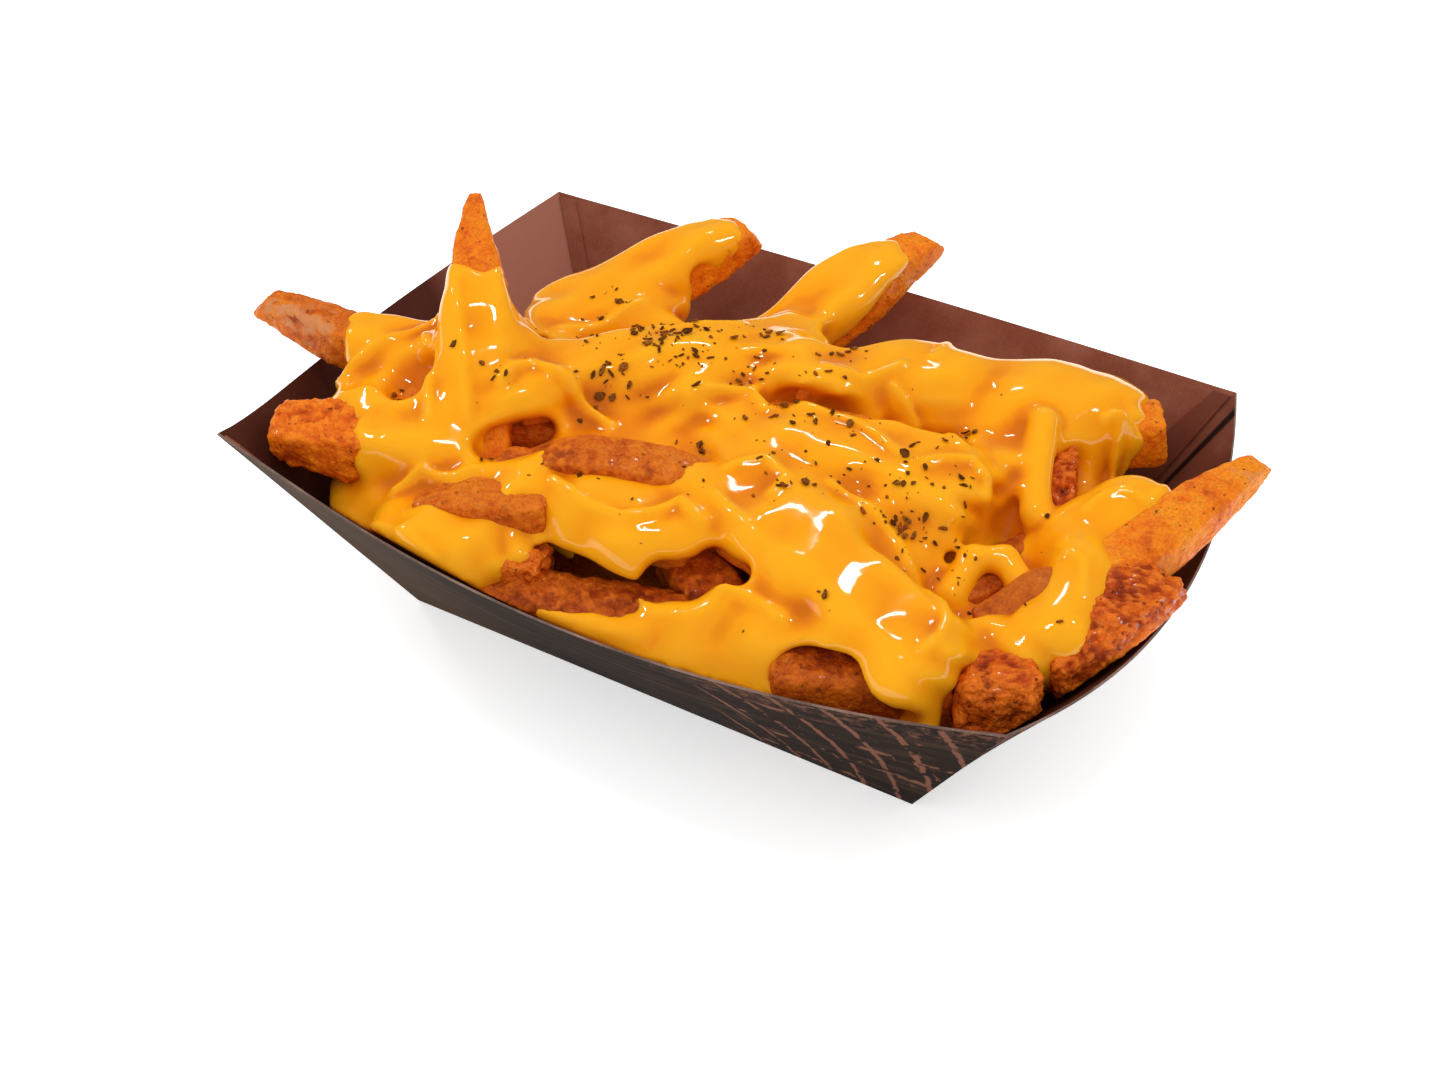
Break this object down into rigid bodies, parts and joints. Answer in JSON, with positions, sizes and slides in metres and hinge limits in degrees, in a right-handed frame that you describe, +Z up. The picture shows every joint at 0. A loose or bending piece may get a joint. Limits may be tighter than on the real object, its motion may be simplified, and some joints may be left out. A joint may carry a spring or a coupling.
{
  "type": "cheese fries",
  "caption": "Heap of thick-cut fries under poured cheese sauce with dried herbs, in a folded paper tray with bowed, outward-leaning walls.",
  "frame": {"origin": "centre of the underside of the tray's floor", "axes": "+X along the tray to its right end, +Y to the long wall behind, -Y the front long wall, +Z up"},
  "size_m": [0.2241, 0.1553, 0.0848],
  "materials": {
    "dark_paper": "matt coated paperboard, printed dark outside and reddish brown inside",
    "fried_crust": null,
    "melted_cheese": null
  },
  "bodies": {
    "root": {"tray": "dark_paper", "fries": "fried_crust", "cheese_sauce": "melted_cheese"}
  },
  "joints": []
}
